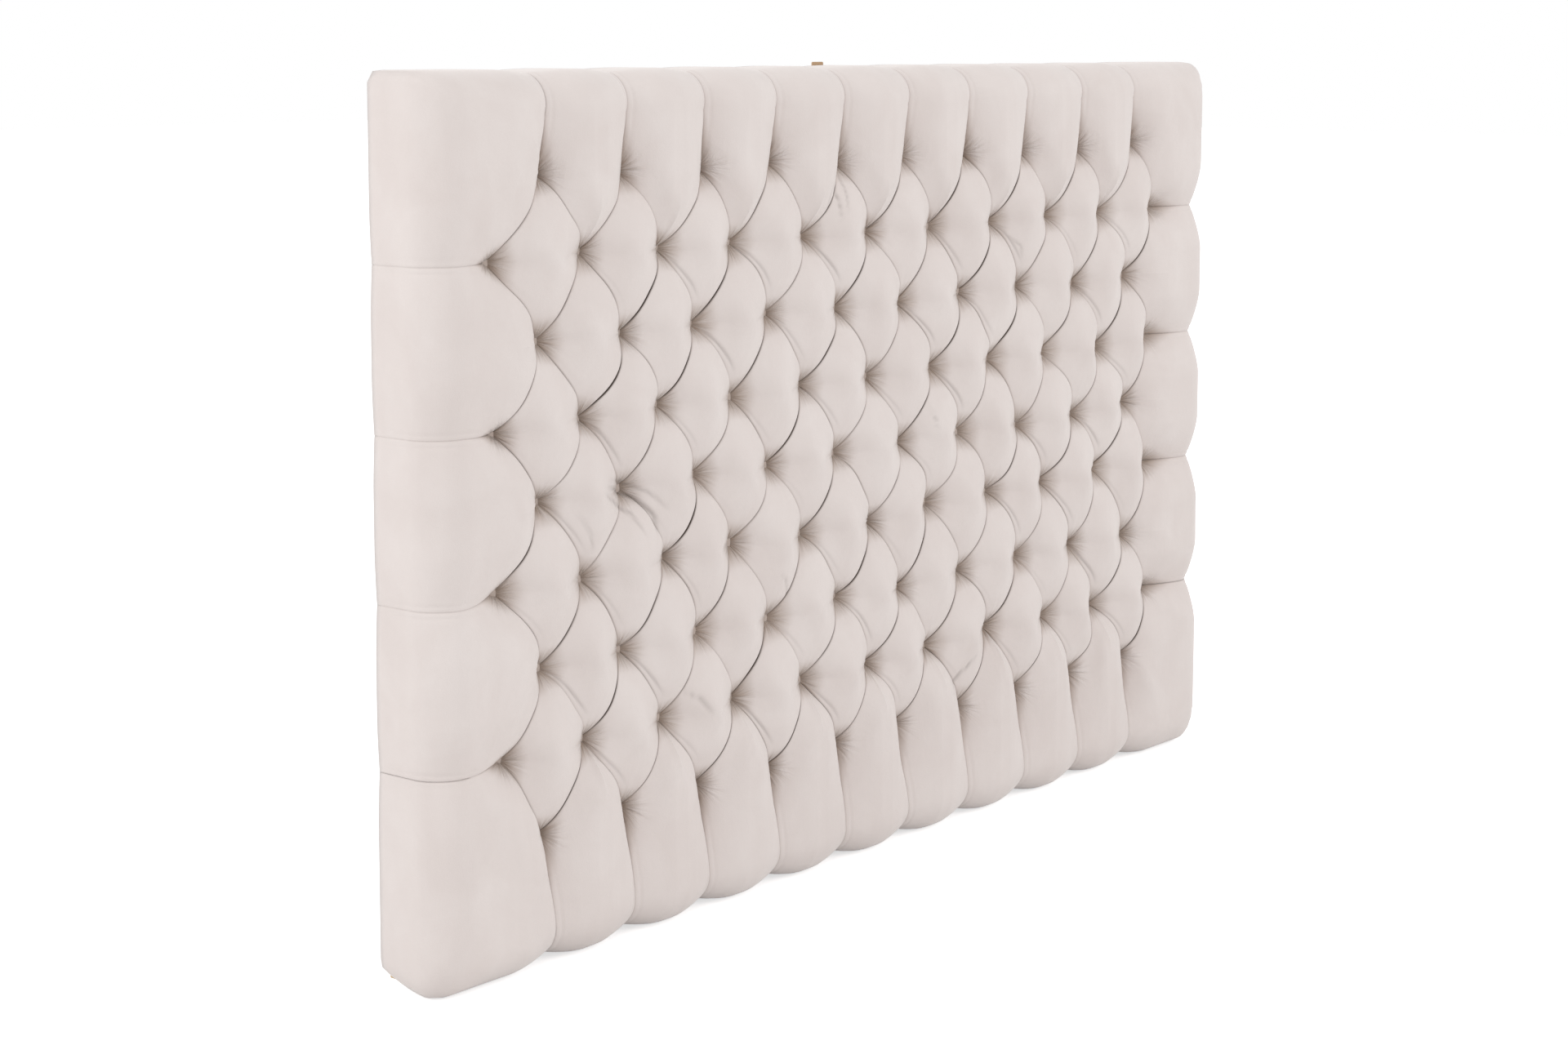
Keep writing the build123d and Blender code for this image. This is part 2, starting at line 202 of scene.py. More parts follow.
class Crease:  # the dip and the sideways wander of a crease or pleat, the same from both sides
    def __init__(self, start, end):
        self.start, self.end = start, end
        self.mid = tufting["crown"] - tufting["crease"] + rng.normal(0, tufting["midWobble"])
        self.lean = rng.normal(0, 1, 3) * tufting["wobble"] * np.array([1, .5, .3])
        self.power = tufting["creasePower"] * rng.uniform(.85, 1.15)
        way = end - start
        self.side = np.array([way[1], -way[0]]) / np.hypot(*way)
        # a crease that falls to the left is pinched shut, its slit deepest and its painted shade darkest towards its
        # lower button, and one that falls to the right lies open, deepest and with the darkest painted shade towards
        # its upper button
        if way[0] < 0:
            self.pinch, self.skew = tufting["darkSlot"] * rng.uniform(.35, 1.25), 1.35
        else:
            self.pinch, self.skew = tufting["lightSlot"] * rng.uniform(.3, 1.3), .6
        self.companion = rng.uniform(-.6, 1.7)

    def drop(self, t):
        full = tufting["crown"] - tufting["funnel"]
        return self.mid + (full - self.mid) * np.abs(2 * t - 1) ** self.power

    def slot(self, t):
        return self.pinch * (.08 + .92 * np.sin(np.pi * t ** self.skew) ** 1.2)

    def wander(self, t):
        amount = sum(a * np.sin((i + 1) * np.pi * t) for i, a in enumerate(self.lean))
        return amount[..., None] * self.side

    def at(self, t):
        return self.start + t[..., None] * (self.end - self.start) + self.wander(t)


creases = {}


def creaseBetween(a, b):  # always from the upper button to the lower
    key = (a, b) if a[1] < b[1] else (b, a)
    if key not in creases:
        creases[key] = Crease(buttonSpots[key[0]], buttonSpots[key[1]])
    return creases[key], key[0] == a


def fall(t):  # how a dip dies away across a pillow
    inner = (1 - 2 * t).clip(0, 1)
    return tufting["roundness"] * inner ** 1.5 + (1 - tufting["roundness"]) * inner ** 12


def slotDrop(distance):
    return np.exp(-(distance / tufting["slotWidth"]) ** 2)


# painted shade along a slit: how strongly its colour is drawn towards the near-black of the creases
def slotTint(distance, pinch):
    return pinch * np.exp(-(distance / (.7 + .6 * pinch)) ** 2)


def gridQuads(rows, columns):
    index = np.arange(rows * columns).reshape(rows, columns)
    return np.stack([index[:-1, :-1], index[1:, :-1], index[1:, 1:], index[:-1, 1:]], -1).reshape(-1, 4)


meshParts = []  # (points, quads, painted shade of the slots, depth of the dip)


def addGrid(points, paintedShade, dip):
    meshParts.append((points.reshape(-1, 3), gridQuads(*points.shape[:2]), paintedShade.reshape(-1), dip.reshape(-1)))


def inSpace(plan, depth):
    return np.stack([plan[..., 0], backY - depth, plan[..., 1]], -1)


def diamond(x, row):
    left, right = (round(x - tufting["pitch"] / 2), row), (round(x + tufting["pitch"] / 2), row)
    upper, lower = (round(x), row - 1), (round(x), row + 1)
    u, v = np.meshgrid(across, across, indexing="ij")
    sides = {}
    for name, a, b in (("lu", left, upper), ("dr", lower, right), ("ld", left, lower), ("ur", upper, right)):
        crease, forward = creaseBetween(a, b)
        share = u if name in ("lu", "dr") else v
        share = share if forward else 1 - share
        sides[name] = (crease.drop(share), crease.wander(share), crease.slot(share), crease)
    corners = [buttonSpots[k] for k in (left, upper, lower, right)]
    weights = (1 - u) * (1 - v), u * (1 - v), (1 - u) * v, u * v
    plan = sum(weight[..., None] * corner for weight, corner in zip(weights, corners))
    aways = {"lu": v, "dr": 1 - v, "ld": u, "ur": 1 - u}
    for name, away in aways.items():
        plan = plan + (1 - away)[..., None] * sides[name][1]
    full = tufting["crown"] - tufting["funnel"]
    drop = sum(sides[name][0] * fall(away) for name, away in aways.items())
    for a in (u, 1 - u):
        for b in (v, 1 - v):
            drop = drop - full * fall(a) * fall(b)
    crest = 16 * u * (1 - u) * v * (1 - v)
    drop = drop + crest * rng.uniform(-.5, 2.5)
    drop = drop + tufting["slack"] * 4 * crest * (1 - crest) * (1 - np.abs(u - v)) ** 4
    length = tufting["sideLength"]
    slots = np.max([slotDrop(length * away) * sides[name][2] for name, away in aways.items()], axis=0)
    # painted shade of the slits, darkest on the crease lines
    paintedShade = np.max([slotTint(length * away, sides[name][2]) for name, away in aways.items()], axis=0)
    # a second, softer fold beside a crease that falls to the right, which also adds a little painted shade
    beside = np.exp(-((length * u - 3.5 - 9 * v) / 1.9) ** 2) * np.sin(np.pi * (v / .75).clip(0, 1))
    fold = max(sides["ld"][3].companion, 0) * beside
    dip = drop
    drop = drop + tufting["slot"] * slots + fold
    addGrid(inSpace(plan, tufting["crown"] - drop), paintedShade + .12 * fold, dip)


for row in range(2, tufting["rows"]):
    xs = rowXs(row)
    for x, nextX in zip(xs, xs[1:]):
        diamond((x + nextX) / 2, row)
print("diamond pillows:", len(meshParts))


# Rounded outline: a point on a rectangle of given half width and heights, with its corners turned
def roundCorner(plan, halfWidth, low, high, lowRadius, highRadius):
    x, z = plan[..., 0].copy(), plan[..., 1].copy()
    for edge, radius, sign in ((low, lowRadius, -1), (high, highRadius, 1)):
        ax = (np.abs(x) - (halfWidth - radius)) / radius
        az = sign * (z - (edge - sign * radius)) / radius
        inside = (ax > 0) & (az > 0)
        ax, az = ax.clip(0, 1), az.clip(0, 1)
        nx = halfWidth - radius + radius * ax * np.sqrt(1 - az ** 2 / 2)
        nz = edge - sign * radius + sign * radius * az * np.sqrt(1 - ax ** 2 / 2)
        x = np.where(inside, np.sign(x) * nx, x)
        z = np.where(inside, nz, z)
    return np.stack([x, z], -1)


crownSteps = np.array([0, .5, 1.0, 1.6, 2.5, 3.8, 5.6, 8, 11, 14.6, 19, 25, 32, 40, 49])
noseAngles = np.radians(np.linspace(0, 90, 12)[1:])
bandSteps = np.linspace(0, 1, 7)[1:]
flush = 1e-6  # a foot this close to an edge lies on it


def sideOf(foot):
    if abs(abs(foot[0]) - tufting["halfWidth"]) < flush:
        return "left" if foot[0] < 0 else "right"
    return "top" if foot[1] > tufting["height"] / 2 else "bottom"


def edgeCell(pleatA, pleatB, inner, footA, footB, span):
    # buttons pleatA and pleatB carry the pleats, inner lies between them, or is None at a corner
    if inner:
        legs = [creaseBetween(pleatA, inner), creaseBetween(inner, pleatB)]
        shares = [(across / 2), (.5 + across[1:] / 2)]
        ways = [across, across[1:]]
    else:
        legs = [creaseBetween(pleatA, pleatB)]
        shares, ways = [across], [across]
    start, startDrop, startSlot = [], [], []
    for (crease, forward), t in zip(legs, ways):
        t = t if forward else 1 - t
        start.append(crease.at(t))
        startDrop.append(crease.drop(t))
        startSlot.append(crease.slot(t))
    p, start, startDrop, startSlot = map(np.concatenate, (shares, start, startDrop, startSlot))

    top, bottom = tufting["height"], 0.0
    footA, footB = np.array(footA, float), np.array(footB, float)
    if inner:
        foot = footA + p[:, None] * (footB - footA)
        distA = p * np.hypot(*(footB - footA))
        distB = (1 - p) * np.hypot(*(footB - footA))
    else:
        corner = np.array([footB[0], footA[1]])
        first, second = np.hypot(*(corner - footA)), np.hypot(*(footB - corner))
        way = p * (first + second)
        # lines crowd at the corner too
        foot = np.where((way < first)[:, None], footA + (way / first)[:, None] * (corner - footA),
                        corner + ((way - first) / second)[:, None] * (footB - corner))
        distA, distB = way, first + second - way
    wa, wb = fall(distA / span), fall(distB / span)
    pleatDist = np.minimum(distA, distB)
    # each pleat's dip at the shoulder, below the nose and at the hem
    pleatDips = zip(tufting["pleats"][sideOf(footA)], tufting["pleats"][sideOf(footB)])
    shoulderDip, noseDip, hemDip = (wa * a + wb * b for a, b in pleatDips)

    def ring(angle):  # outline of the cover where its nose has turned by an angle
        turn = math.sin(angle)
        reach = tufting["noseRadius"] * (1 - turn)
        halfWidth, low, high = tufting["halfWidth"] - reach, bottom + reach, top - reach
        # clipping moves every foot that lies on an edge in with that edge
        plan = np.stack([foot[:, 0].clip(-halfWidth, halfWidth), foot[:, 1].clip(low, high)], -1)
        lowRadius, highRadius = (shoulder + (rim - shoulder) * turn for shoulder, rim
                                 in zip(tufting["shoulderCorners"], tufting["rimCorners"]))
        return roundCorner(plan, halfWidth, low, high, lowRadius, highRadius)

    shoulder = ring(0.0)
    lengths = np.hypot(*(shoulder - start).T)
    points, paintedShades, depths = [], [], []

    def twinFold(away):
        return tufting["twin"] * np.exp(-((pleatDist - away) / tufting["twinWidth"]) ** 2)

    def addRing(plan, depth, paintedShade, dip):
        points.append(inSpace(plan, depth + 0 * p))
        paintedShades.append(paintedShade + 0 * p)
        depths.append(dip + 0 * p)

    # crown: from the crease to the shoulder, with steps that crowd at the crease
    onSide = np.abs(np.abs(foot[:, 0]) - tufting["halfWidth"]) < flush
    outward = np.stack([np.where(onSide, np.sign(foot[:, 0]), 0),
                        np.where(onSide, 0, np.where(foot[:, 1] > top / 2, 1, -1))], -1)
    qs = crownSteps / lengths.min()
    tail = np.linspace(min(qs[-1], .8), 1, 7)[1:]
    qs = np.concatenate([qs[qs < .8], tail])
    full = tufting["crown"] - tufting["funnel"]
    for q in qs:
        plan = start + q * (shoulder - start)
        dist = q * lengths
        near = fall((dist / tufting["sideLength"]).clip(0, .5))
        rise = (1 - q) ** 1.6
        pleat = shoulderDip * (1 - rise) + full * rise * (wa + wb)
        dip = startDrop * near + pleat - full * near * (wa + wb)
        fade = tufting["pleatSlot"] * (1 - np.exp(-(dist / 2) ** 2)) * (1 - .6 * q)
        slots = np.maximum(slotDrop(dist) * startSlot, slotDrop(pleatDist) * fade)
        # painted shade of the crease's slit and of the pleat
        paintedShade = np.maximum(slotTint(dist, startSlot), slotTint(pleatDist, fade))
        # the same pleat lies double near the shoulder
        twin = twinFold(tufting["twinAway"] - 3 + 3 * q) * q
        addRing(plan, tufting["crown"] - dip - tufting["slot"] * slots - twin, paintedShade, dip)
    # nose: a quarter circle
    for angle in noseAngles:
        turn = math.sin(angle)
        inset = shoulderDip + (noseDip - shoulderDip) * (angle / (math.pi / 2))
        twin = twinFold(tufting["twinAway"])
        amount = inset + tufting["slot"] * tufting["pleatSlot"] * .7 * slotDrop(pleatDist) + twin
        depth = tufting["crown"] - tufting["noseRadius"] * (1 - math.cos(angle)) - amount * math.cos(angle)
        plan = ring(angle) - outward * (amount * turn)[:, None]
        # painted shade along the pleat, fainter on the nose
        addRing(plan, depth, slotTint(pleatDist, .4 * tufting["pleatSlot"]), 0)
    # band: back to the hem
    bandTop = tufting["crown"] - tufting["noseRadius"]
    rim = ring(math.pi / 2)
    toSide = (tufting["halfWidth"] - np.abs(rim[:, 0])) / tufting["tuckReach"]
    toFloor = rim[:, 1] / tufting["tuckReach"]
    tuck = tufting["tuck"] * np.exp(-toSide ** 2 - toFloor ** 2)
    pleatLine = tufting["slot"] * tufting["pleatSlot"] * .6 * slotDrop(pleatDist)
    for step in bandSteps:
        inset = noseDip + (hemDip - noseDip) * step
        twin = (1 - step) * twinFold(tufting["twinAway"])
        plan = rim - outward * (inset + pleatLine + twin)[:, None]
        plan[:, 1] += step ** 1.6 * tuck
        depth = bandTop + (tufting["hemDepth"] - bandTop) * step
        # painted shade along the pleat, fainter still on the band
        addRing(plan, depth, slotTint(pleatDist, .3 * tufting["pleatSlot"]), 0)
    # hem: turned in over the back
    middle = np.array([0, (top + bottom) / 2])
    for reach in tufting["hemReaches"]:
        shrink = np.array([1 - reach / tufting["halfWidth"], 1 - 2 * reach / (top - bottom)])
        plan = middle + (rim - middle) * shrink - outward * (hemDip + pleatLine)[:, None]
        plan[:, 1] += tuck
        addRing(plan, 0.0, 0, 0)
    addGrid(np.array(points), np.array(paintedShades), np.array(depths))


lastRow = tufting["rows"]
innerX, outerX = round(rowXs(1)[-1]), round(rowXs(2)[-1])  # the last buttons of odd and even rows
endSpan, sideSpan = tufting["pitch"] * tufting["endSpan"], tufting["pitch"] * tufting["sideSpan"]
for row, edge, towards in ((1, tufting["height"], 1), (lastRow, 0.0, -1)):
    xs = rowXs(row)
    for x, nextX in zip(xs, xs[1:]):
        edgeCell((round(x), row), (round(nextX), row), (round((x + nextX) / 2), row + towards),
                 (x, edge), (nextX, edge), endSpan)
    for side in (-1, 1):
        pleatX = side * xs[-1]
        edgeCell((round(pleatX), row), (side * outerX, row + towards), None,
                 (pleatX, edge), (side * tufting["halfWidth"], rowZ(row + towards)), sideSpan)
for side in (-1, 1):
    edge = side * tufting["halfWidth"]
    for row in range(3, lastRow, 2):
        edgeCell((side * outerX, row - 1), (side * outerX, row + 1), (side * innerX, row),
                 (edge, rowZ(row - 1)), (edge, rowZ(row + 1)), sideSpan)
print("cells in all:", len(meshParts))


def joinParts(parts):
    points = np.concatenate([p[0] for p in parts])
    offsets = np.cumsum([0] + [len(p[0]) for p in parts[:-1]])
    quads = np.concatenate([p[1] + o for p, o in zip(parts, offsets)])
    cells = np.round(points * tufting["weldGrid"]).astype(np.int64)
    _, first, inverse = np.unique(cells, axis=0, return_index=True, return_inverse=True)
    return points[first], inverse.reshape(-1)[quads], *(np.concatenate([p[k] for p in parts])[first] for k in (2, 3))


def nearestButton(points):  # its number, and the way to it in the plane of the front
    spots = np.array(list(buttonSpots.values()))
    plan = points[:, [0, 2]]
    number = np.argmin(((plan[:, None, :] - spots[None]) ** 2).sum(-1), axis=1)
    return number, plan - spots[number]


def fans(number, way):  # sharp little folds that run out from each button
    reach, angle = np.hypot(*way.T), np.arctan2(way[:, 1], way[:, 0])
    count = len(buttonSpots)
    height = np.zeros(len(way))
    for folds in tufting["fanFolds"]:
        turn, share = rng.uniform(0, np.pi, count)[number], rng.uniform(0, .55, count)[number]
        height += share * (np.abs(np.cos(folds / 2 * angle + turn)) - .64)
    out = reach / tufting["fanRadius"]
    return height * out ** 1.5 * np.exp(1.5 * (1 - out)), reach, angle


def meshObject(name, points, faces):  # points in millimetres; a corner that a face names twice counts once
    mesh = bpy.data.meshes.new(name)
    mesh.from_pydata((np.array(points) * .001).tolist(), [], [list(dict.fromkeys(f)) for f in faces])
    mesh.update()
    made = bpy.data.objects.new(name, mesh)
    scene.collection.objects.link(made)
    mesh.polygons.foreach_set("use_smooth", np.ones(len(mesh.polygons), bool))
    return made


def addLayer(made, name, kind, values):
    made.data.attributes.new(name, kind, "POINT").data.foreach_set(
        "vector" if kind == "FLOAT_VECTOR" else "value", np.ascontiguousarray(values, dtype=np.float32).reshape(-1))


# Folds in the cloth away from the creases: the way of each, its half width and its depth
looseFolds = [
    {"way": [(-590, 640), (-558, 633), (-519, 615), (-493, 589), (-484, 561)], "width": 3.2, "depth": 2.6},
    {"way": [(-592, 632), (-566, 618), (-534, 596), (-514, 565)], "width": 2.6, "depth": 2.0},
    {"way": [(-584, 649), (-540, 640), (-500, 622), (-470, 594)], "width": 3.0, "depth": 1.6},
    {"way": [(-98, 1046), (-105, 1029), (-98, 999), (-96, 975)], "width": 2.2, "depth": 1.9},
    {"way": [(-84, 1044), (-80, 1018), (-84, 986)], "width": 2.4, "depth": 1.5},
    {"way": [(-116, 1032), (-122, 1010), (-118, 990)], "width": 2.2, "depth": 1.2},
    {"way": [(239, 270), (207, 243), (186, 214)], "width": 2.6, "depth": 2.2},
    {"way": [(-640, 610), (-618, 580), (-606, 552)], "width": 2.4, "depth": 1.2},
    {"way": [(110, 690), (128, 664), (132, 640)], "width": 2.2, "depth": 1.3},
    {"way": [(-236, 470), (-214, 452), (-200, 428)], "width": 2.4, "depth": 1.4},
    {"way": [(330, 930), (352, 912), (362, 890)], "width": 2.2, "depth": 1.3},
    {"way": [(-430, 330), (-404, 316), (-388, 292)], "width": 2.4, "depth": 1.4},
]


def foldDepths(points):
    total = np.zeros(len(points))
    plan = points[:, [0, 2]]
    for fold in looseFolds:
        way = np.array(fold["way"], float)
        best, share = np.full(len(plan), 1e9), np.zeros(len(plan))
        for i, (a, b) in enumerate(zip(way, way[1:])):
            t = ((plan - a) @ (b - a) / ((b - a) @ (b - a))).clip(0, 1)
            away = np.hypot(*(plan - a - t[:, None] * (b - a)).T)
            closer = away < best
            best, share = np.where(closer, away, best), np.where(closer, (i + t) / (len(way) - 1), share)
        total += fold["depth"] * np.exp(-(best / fold["width"]) ** 2) * np.sin(np.pi * share.clip(.02, .98)) ** .7
    return total


points, faces, paintedShade, dip = joinParts(meshParts)
number, way = nearestButton(points)
fanHeight, reach, angle = fans(number, way)
front = ((backY - points[:, 1]) / 60 - .3).clip(0, 1)
loose = foldDepths(points) * front
points[:, 1] += loose - tufting["fan"] * fanHeight * front
# painted shade along the loose folds, on top of that of the slits
paintedShade = paintedShade + .1 * loose
# slow unevenness of the filling
swell = sum(np.sin(points[:, 0] / a + p) * np.sin(points[:, 2] / b + q)
            for a, b, p, q in ((61, 47, 1, 2), (37, 83, 4, 5), (23, 29, 0, 3)))
points[:, 1] -= tufting["swell"] * swell * front
cover = meshObject("tufted_velvet", points, faces.tolist())
# painted shade of the slits, pleats and folds
addLayer(cover, "slotTint", "FLOAT", paintedShade)
# painted shade in the deep funnels, from the depth of the dip
addLayer(cover, "dimple", "FLOAT", ((dip - tufting["dimpleShadeFrom"]) / tufting["dimpleShadeOver"]).clip(0, 1))
fanPlace = np.stack([3 * np.cos(angle), 3 * np.sin(angle), number * 1.7 + reach * .012], -1)
addLayer(cover, "fanPlace", "FLOAT_VECTOR", fanPlace)
addLayer(cover, "fanReach", "FLOAT", np.exp(-(reach / tufting["fanRadius"] - 1) ** 2) * front)
print("cover mesh:", len(cover.data.vertices), "points", len(cover.data.polygons), "faces")


# Velvet: pale, whiter at a slant, with painted shade in the creases, the funnels and the fans of wrinkles round the
# buttons
velvetLook = {
    "colour": (.715, .645, .618), "nap": (.785, .725, .70),
    # the first colour below is the tan of the painted shade in the funnels and on the buttons, the second the
    # near-black of the painted shade in the slits
    "dimple": (.40, .315, .26), "fold": (.09, .065, .05),
    "roughness": .85, "sheen": .6, "sheenRoughness": .45, "sheenTint": (1, .97, .95, 1),
}


def velvet(name, look, folds=True):  # with folds it reads the layers of the cover
    s = Shader(name)
    place = s.place()
    patches = s.noise(place, 9.0, 3.0, .55, .6)
    streaks = s.noise(s.stretched(place, (26.0, 26.0, 9.0)), 1.0, 3.0, .6)
    nap = ((patches - .42) * 2.2 + (streaks - .45) * 1.1 + .15).clamp()
    colour = s.mix(nap * .6, look["colour"], look["nap"])
    fine = s.noise(place, 900.0, 2.0, .6)
    # a fine random mottle, drawn a little towards the same tan
    colour = s.mix((fine - .35) * .12, colour, look["dimple"])
    pile = s.bump(fine, .0006, .3)
    soft = s.bump(s.noise(place, 60.0, 3.0, .6, .4), .004, .1, pile)
    if folds:
        fan = s.noise(s.layer("fanPlace", "Vector"), 1.9, 2.0, .55)
        fanReach, dimple = s.layer("fanReach"), s.layer("dimple")
        # painted shade in the funnels, with streaks of painted wrinkle shade from the fan noise near each button
        colour = s.mix((dimple * .95 - (fan - .52) * fanReach * 1.1).clamp(), colour, look["dimple"])
        # painted shade in the slits and folds, towards the near-black
        colour = s.mix((s.layer("slotTint") * 1.7).clamp(), colour, look["fold"])
        soft = s.bump(fan * fanReach, .0045, .8, soft)
    else:
        # painted shade: the buttons lie deep in their funnels, so their colour is drawn most of the way to the tan
        colour = s.mix(.7, colour, look["dimple"])
    surface = s.node("ShaderNodeBsdfPrincipled", {}, {
        "Base Color": colour, "Roughness": look["roughness"], "Sheen Weight": look["sheen"],
        "Sheen Roughness": look["sheenRoughness"], "Sheen Tint": look["sheenTint"],
        "Specular IOR Level": .15, "Normal": soft})
    return s.finish(surface.out())


cover.data.materials.append(velvet("palePinkVelvet", velvetLook))
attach(cover, "root")
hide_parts("tufted_cover")

# Covered buttons: a low dome with a turned rim, each a little askew
buttonLook = {
    "radius": 10.5, "dome": 4.6, "rim": 2.2, "tuck": 1.5,
    "depth": 73.0, "tilt": 5.0, "segments": 24,
    "pleat": .012, "pleats": 9,  # how far the velvet's gathers stand out, and their number
}


def buttonParts():
    b = buttonLook
    radius = b["radius"]
    profile = [(0, b["dome"])]
    for i in range(1, 6):
        r = radius * i / 6.2
        profile.append((r, b["dome"] * (1 - (r / radius) ** 2.6 * .55)))
    profile += [(radius * .93, b["dome"] * .38), (radius, 0), (radius * .97, -b["rim"]),
                (radius * .7, -b["rim"] - b["tuck"])]
    angles = np.linspace(0, 2 * np.pi, b["segments"], endpoint=False)
    points, faces = [], []
    for spot in buttonSpots.values():
        base = len(points)
        lean = rng.normal(0, b["tilt"], 2)
        turn = Matrix.Rotation(math.radians(lean[0]), 3, "X") @ Matrix.Rotation(math.radians(lean[1]), 3, "Z")
        centre = Vector((spot[0], backY - b["depth"], spot[1]))
        points.append(centre + turn @ Vector((0, -profile[0][1], 0)))
        for r, h in profile[1:]:
            for a in angles:
                wave = 1 + b["pleat"] * math.sin(b["pleats"] * a + base)
                points.append(centre + turn @ Vector((r * wave * math.cos(a), -h, r * wave * math.sin(a))))
        n = b["segments"]
        for i in range(n):
            j = (i + 1) % n
            faces.append((base, base + 1 + i, base + 1 + j))
            for k in range(len(profile) - 2):
                o = base + 1 + k * n
                faces.append((o + i, o + n + i, o + n + j, o + j))
    return points, faces


buttons = meshObject("covered_buttons", *buttonParts())
buttons.data.materials.append(velvet("buttonVelvet", velvetLook, folds=False))
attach(buttons, "root")
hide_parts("buttons")
print("buttons made")

# Cloth over the back, stretched from staple to staple, with a hole round each threaded insert
backCloth = {
    "width": 1752.0, "height": 1152.0, "middle": 600.0, "behind": 1.1, "slack": .3,
    "holes": [(side * 830.0, z) for side in (-1, 1) for z in (250.0, 330.0)],
    "holeRadius": 11.0, "cell": 8.0,
}


def backClothPart():
    b = backCloth
    xs = np.linspace(-b["width"] / 2, b["width"] / 2, int(b["width"] / b["cell"]) + 1)
    zs = np.linspace(-b["height"] / 2, b["height"] / 2, int(b["height"] / b["cell"]) + 1) + b["middle"]
    x, z = np.meshgrid(xs, zs, indexing="ij")
    plan = np.stack([x, z], -1).reshape(-1, 2)
    inside = np.zeros(len(plan), bool)
    for hole in b["holes"]:
        way = plan - hole
        away = np.hypot(*way.T)
        inside |= away < b["holeRadius"] * .7
        # the lines nearest the hole are drawn on to its round edge
        close = (away >= b["holeRadius"] * .7) & (away < b["holeRadius"] + b["cell"] * .6)
        plan = np.where(close[:, None], hole + way * (b["holeRadius"] / away.clip(1e-3))[:, None], plan)
    quads = gridQuads(*x.shape)
    quads = quads[~inside[quads].any(axis=1)]
    wave = np.sin(plan[:, 0] / 37 + np.sin(plan[:, 1] / 90)) * np.sin(plan[:, 1] / 53 + 1.3)
    points = np.stack([plan[:, 0], backY + b["behind"] - b["slack"] * wave, plan[:, 1]], -1)
    used, inverse = np.unique(quads, return_inverse=True)
    return points[used], inverse.reshape(-1, 4)[:, ::-1].tolist()


backSheet = meshObject("back_cloth", *backClothPart())


def nonwoven(name, look):  # pressed fibres
    s = Shader(name)
    place = s.place()
    fibres = s.noise(place, 420.0, 4.0, .7, 2.0)
    clouds = s.noise(place, 14.0, 3.0, .6)
    colour = s.mix((fibres * .9 + clouds * .5 - .35).clamp(), look["dark"], look["light"])
    surface = s.node("ShaderNodeBsdfPrincipled", {}, {
        "Base Color": colour, "Roughness": look["roughness"], "Specular IOR Level": .2,
        "Normal": s.bump(fibres, .0004, .5)})
    return s.finish(surface.out())


clothLook = {"dark": (.60, .59, .57), "light": (.80, .79, .77), "roughness": .92}
backSheet.data.materials.append(nonwoven("backCloth", clothLook))
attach(backSheet, "root")
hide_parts("dust_cloth")
print("back cloth made")


def timber(name, look, along=(1, 0, 0)):  # grain runs along one axis
    s = Shader(name)
    place = s.place()
    squeeze = tuple(look["lengthways"] if a else look["crossways"] for a in along)
    grain = s.noise(s.stretched(place, squeeze), 1.0, 5.0, .6, 1.2)
    pores = s.noise(s.stretched(place, tuple(6 * v for v in squeeze)), 1.0, 3.0, .7)
    ring = ((grain * look["rings"]).math("SINE") * .5 + .5)
    colour = s.mix((ring * .6 + pores * .4).clamp(), look["light"], look["dark"])
    surface = s.node("ShaderNodeBsdfPrincipled", {}, {
        "Base Color": colour, "Roughness": (pores * .25 + look["roughness"] - .12).clamp(),
        "Specular IOR Level": .35, "Normal": s.bump(ring * .6 + pores, .0005, .35)})
    return s.finish(surface.out())


def metal(name, look):
    s = Shader(name)
    place = s.place()
    cloud = s.noise(place, 55.0, 4.0, .6)
    scratch = s.noise(s.stretched(place, (90.0, 90.0, 900.0)), 1.0, 2.0, .6)
    colour = s.mix(cloud, look["dark"], look["light"])
    surface = s.node("ShaderNodeBsdfPrincipled", {}, {
        "Base Color": colour, "Metallic": 1.0, "Roughness": (cloud * .2 + look["roughness"]).clamp(),
        "Normal": s.bump(scratch, .0002, .3)})
    return s.finish(surface.out())


def twisted(name, look):  # thread, webbing and other small woven pieces
    s = Shader(name)
    place = s.place()
    ply = s.node("ShaderNodeTexWave", {"wave_type": "BANDS", "bands_direction": "DIAGONAL"}, {
        "Vector": place, "Scale": look["scale"], "Distortion": 1.5, "Detail": 2.0}).out("Fac")
    fuzz = s.noise(place, 700.0, 3.0, .7)
    colour = s.mix((ply * .7 + fuzz * .4).clamp(), look["dark"], look["light"])
    surface = s.node("ShaderNodeBsdfPrincipled", {}, {
        "Base Color": colour, "Roughness": look["roughness"], "Specular IOR Level": .25,
        "Normal": s.bump(ply + fuzz * .4, .0006, .6)})
    return s.finish(surface.out())


def moulded(name, look):
    s = Shader(name)
    place = s.place()
    cloud = s.noise(place, 120.0, 3.0, .6)
    colour = s.mix(cloud, look["dark"], look["light"])
    surface = s.node("ShaderNodeBsdfPrincipled", {}, {
        "Base Color": colour, "Roughness": (cloud * .15 + look["roughness"]).clamp(),
        "Normal": s.bump(s.noise(place, 900.0, 2.0, .5), .0002, .3)})
    return s.finish(surface.out())


def openCells(name, look):
    s = Shader(name)
    place = s.place()
    cells = s.node("ShaderNodeTexVoronoi", {"feature": "F1"}, {"Vector": place, "Scale": 520.0}).out("Distance")
    cloud = s.noise(place, 12.0, 3.0, .6)
    colour = s.mix((cells * .8 + cloud * .4).clamp(), look["light"], look["dark"])
    surface = s.node("ShaderNodeBsdfPrincipled", {}, {
        "Base Color": colour, "Roughness": look["roughness"], "Specular IOR Level": .2,
        "Normal": s.bump(cells, .0006, .6)})
    return s.finish(surface.out())


